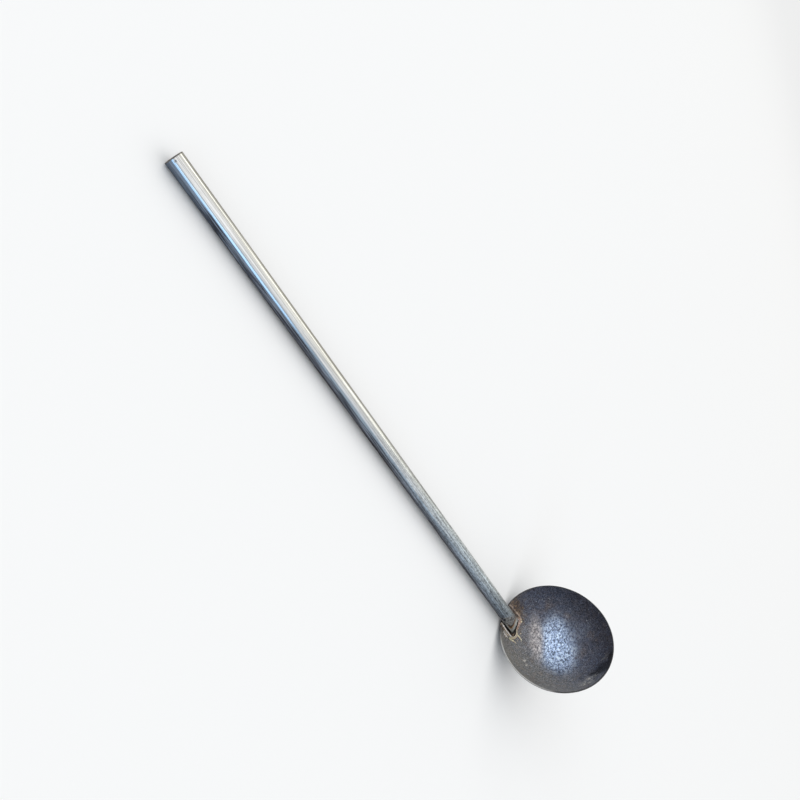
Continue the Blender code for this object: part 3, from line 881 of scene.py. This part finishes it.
def make_side_run(side, lump, threads, drops, material, name, node):
    """Fillet run of lapped scales in the corner of tube and wall, from the rim to the tip."""
    rows_per_ripple = 9
    length = BEAD_START_U - BEAD_END_U
    count = ceil(length / RIPPLE_PITCH * rows_per_ripple)
    skin, rows = Skin(), []
    for k in range(count + 1):
        run = length * k / count
        u = BEAD_START_U - run
        nose = 0.14 + 0.86 * sin(pi / 2 * min(1.0, run / NOSE_LENGTH))
        swollen = 1 + lump * smooth(LUMP_LENGTH, LUMP_CORE, run)
        hand = 1 + 0.12 * lumps(130 * u, 3.1 * side, 0.4, 2)
        tail = 1 - 0.10 * smooth(length - TAIL_LENGTH, length, run)
        rows.append(skin.row(*side_section(side, u, run, nose * swollen * hand * tail)))
    skin.sleeve(rows)
    lay_threads(skin, threads)
    lay_drops(skin, drops)
    piece = skin.build(name, SEAT, material, 70)
    stand_for(piece, node)


def make_toe_run(material):
    """Run round the tip of the tube, with two thin tails that trail off over the wall."""
    rows_per_scale, steps = 8, 22
    count = TOE_SCALES * rows_per_scale
    end_rise = 0.8 * (mitre_w(TOE_END_U) - CUT_MARGIN)
    inner_reach = MITRE_LENGTH / 2 + SEAM_GAP
    skin, rows = Skin(), []
    for k in range(count + 1):
        turn = 2 * k / count - 1
        size = 1 + smooth(1.0, 0.9, abs(turn)) * 0.16 * lumps(4 * turn, 0.7, 5.1, 2)
        reach = MITRE_LENGTH / 2 + TOE_REACH * size
        outer_turn = acos((MITRE_MID_U - TOE_END_U) / reach)
        inner = (MITRE_MID_U - cos(turn * TOE_TURN) * inner_reach, sin(turn * TOE_TURN) * CLEAR_RADIUS)
        outer = (MITRE_MID_U - cos(turn * outer_turn) * reach,
                 sin(turn * outer_turn) / sin(outer_turn) * BEAD_TOE_V)
        rise = (TOE_RISE + (end_rise - TOE_RISE) * turn**2) * size
        top, bottom, marks = [], [], []
        for i in range(steps + 1):
            share = i / steps
            u = inner[0] + (outer[0] - inner[0]) * share
            v = inner[1] + (outer[1] - inner[1]) * share
            base = floor_w(u, v)
            arch = sin(pi * share**0.9) ** 0.8
            scale = lapped((turn + 1) / 2 * TOE_SCALES + 0.7 * sin(pi * share))
            rough = lumps(420 * u, 420 * v, 3.3)
            swell = max(0.0, TOE_CROWN + RIPPLE_HEIGHT * scale + TOE_ROUGH * rough)
            bottom.append((u, v, base))
            top.append((u, v, base + rise * (1 - share) ** 1.4 + swell * arch))
            # Marks for the weld paint: painted highlight on two bands, painted shade between them and at the
            # ripple roots.
            mark = 0.9 * band(share, 0.26, 0.46) + 0.68 * band(share, 0.54, 0.94)
            marks.append(clamp(mark * (0.85 + 0.30 * scale) + 0.15 * rough))
        rows.append(skin.row(top + bottom[-2::-1], marks + [0.1] * steps))
    skin.sleeve(rows)
    lay_threads(skin, TOE_THREADS)
    lay_drops(skin, TOE_DROPS)
    piece = skin.build("toe_weld_run", SEAT, material, 70)
    stand_for(piece, "weld_bead_toe")


def make_end_seal(material):
    """Puddle that closes the mitre's mouth, with ripples that nest towards its upper end."""
    reach, steps, count, ripples = BORE_RADIUS - SEAM_GAP, 96, 60, 7
    skin = Skin()

    def ring(size, lift, mark):
        shift = (1 - size) * 0.55 * reach
        points, marks = [], []
        for turn in full_turn(steps):
            w = AXIS_W + shift + size * reach * cos(turn)
            v = size * reach * sin(turn)
            rough = lumps(330 * v, 330 * w, 0.8) * (1 - size**6)
            points.append((mitre_u(w) - lift - SEAL_ROUGH * rough, v, w))
            marks.append(clamp(mark + 0.2 * rough))
        return skin.row(points, marks)

    rings = [ring(1.0, -SEAL_DEPTH, 0.0)]
    for i in range(count):
        size = 1 - i / (count - 0.5)
        crown = SEAL_CROWN - SEAL_SAG * size**4
        scale = lapped((1 - size) * ripples) * (1 - size**8)
        # Marks follow the ripples, with painted light on their crests.
        rings.append(ring(size, crown + SEAL_RIPPLE * scale, 0.2 + 0.6 * scale))
    skin.sleeve(rings)
    piece = skin.build("mouth_weld_puddle", SEAT, material, 70)
    stand_for(piece, "end_seal_weld")


def make_stage():
    """Wide pale floor, a little below the part."""
    far, drop = 90.0, 0.0003
    mesh = bpy.data.meshes.new("floor")
    mesh.from_pydata([(-far, -far, 0), (far, -far, 0), (far, far, 0), (-far, far, 0)], [], [(0, 1, 2, 3)])
    p = Paint("pale_floor")
    p.set(Base_Color=(0.93, 0.93, 0.93, 1.0), Roughness=0.9, Specular_IOR_Level=0.0)
    mesh.materials.append(p.material)
    floor = bpy.data.objects.new("floor", mesh)
    floor.location = (0, 0, -drop)
    bpy.context.scene.collection.objects.link(floor)


def aim(lamp, towards):
    lamp.rotation_mode = "QUATERNION"
    lamp.rotation_quaternion = Vector(towards).to_track_quat("-Z", "Y")
    bpy.context.scene.collection.objects.link(lamp)


def make_softbox(name, direction, width, height, watts, colour):
    distance = 10.0
    data = bpy.data.lights.new(name, "AREA")
    data.shape, data.size, data.size_y = "RECTANGLE", width, height
    data.energy, data.color = watts, colour
    lamp = bpy.data.objects.new(name, data)
    lamp.location = distance * Vector(direction)
    lamp.visible_camera = False
    aim(lamp, -Vector(direction))


def make_light():
    """Soft overhead key, a low cool strip beside the tube, a box behind, one before the bowl, a grey room."""
    data = bpy.data.lights.new("key", "SUN")
    data.energy, data.angle, data.color = 0.90, radians(120), (1.0, 0.985, 0.955)
    aim(bpy.data.objects.new("key", data), (0.10, 0.10, -0.99))
    make_softbox("strip", (-0.08, 0.95, 0.32), 4.5, 3.8, 75, (0.50, 0.76, 1.0))
    make_softbox("rear", (-0.35, -0.62, 0.70), 9.0, 1.6, 40, (1.0, 0.98, 0.90))
    make_softbox("front", (0.86, -0.10, 0.44), 7.5, 5.0, 130, (0.84, 0.93, 1.0))
    world = bpy.data.worlds.new("studio")
    bpy.context.scene.world = world
    world.use_nodes = True
    room = world.node_tree.nodes["Background"]
    room.inputs["Color"].default_value = (0.98, 0.99, 1.0, 1.0)
    room.inputs["Strength"].default_value = 0.65


def make_camera():
    """High on the +Y side of the free end, rolled as in the photograph, and placed in the seat frame."""
    place = Vector((0.829559, 0.524107, 0.548195))
    turn = Euler((radians(14.963), radians(-52.581), radians(-144.492)))
    data = bpy.data.cameras.new("camera")
    data.lens, data.sensor_width = 30.5895, 36.0
    data.clip_start, data.clip_end = 0.05, 300.0
    camera = bpy.data.objects.new("camera", data)
    camera.matrix_world = SEAT @ Matrix.LocRotScale(place, turn, None)
    bpy.context.scene.collection.objects.link(camera)
    bpy.context.scene.camera = camera


make_camera()
make_stage()
make_light()
make_bowl(bowl_paint())
make_tube(zinc_paint())
make_side_run(1, 0.35, RIGHT_THREADS, RIGHT_DROPS,
              weld_paint("right_weld", (1.0, 0.92, 0.82), (0.46, 0.33, 0.25), (1.0, 0.84, 0.66), 0.4),
              "right_weld_run", "weld_bead_right")
make_side_run(-1, 0.0, [], LEFT_DROPS,
              weld_paint("left_weld", (0.66, 0.58, 0.50), (0.24, 0.18, 0.14), (0.52, 0.36, 0.25), 0.8),
              "left_weld_run", "weld_bead_left")
make_toe_run(weld_paint("toe_weld", (1.0, 0.83, 0.60), (0.56, 0.35, 0.26), (1.0, 0.66, 0.47), 0.28))
make_end_seal(weld_paint("seal_weld", (0.42, 0.40, 0.37), (0.15, 0.13, 0.12), (0.40, 0.22, 0.13), 0.7))

bpy.context.scene.view_settings.view_transform = "Standard"
bpy.context.view_layer.update()
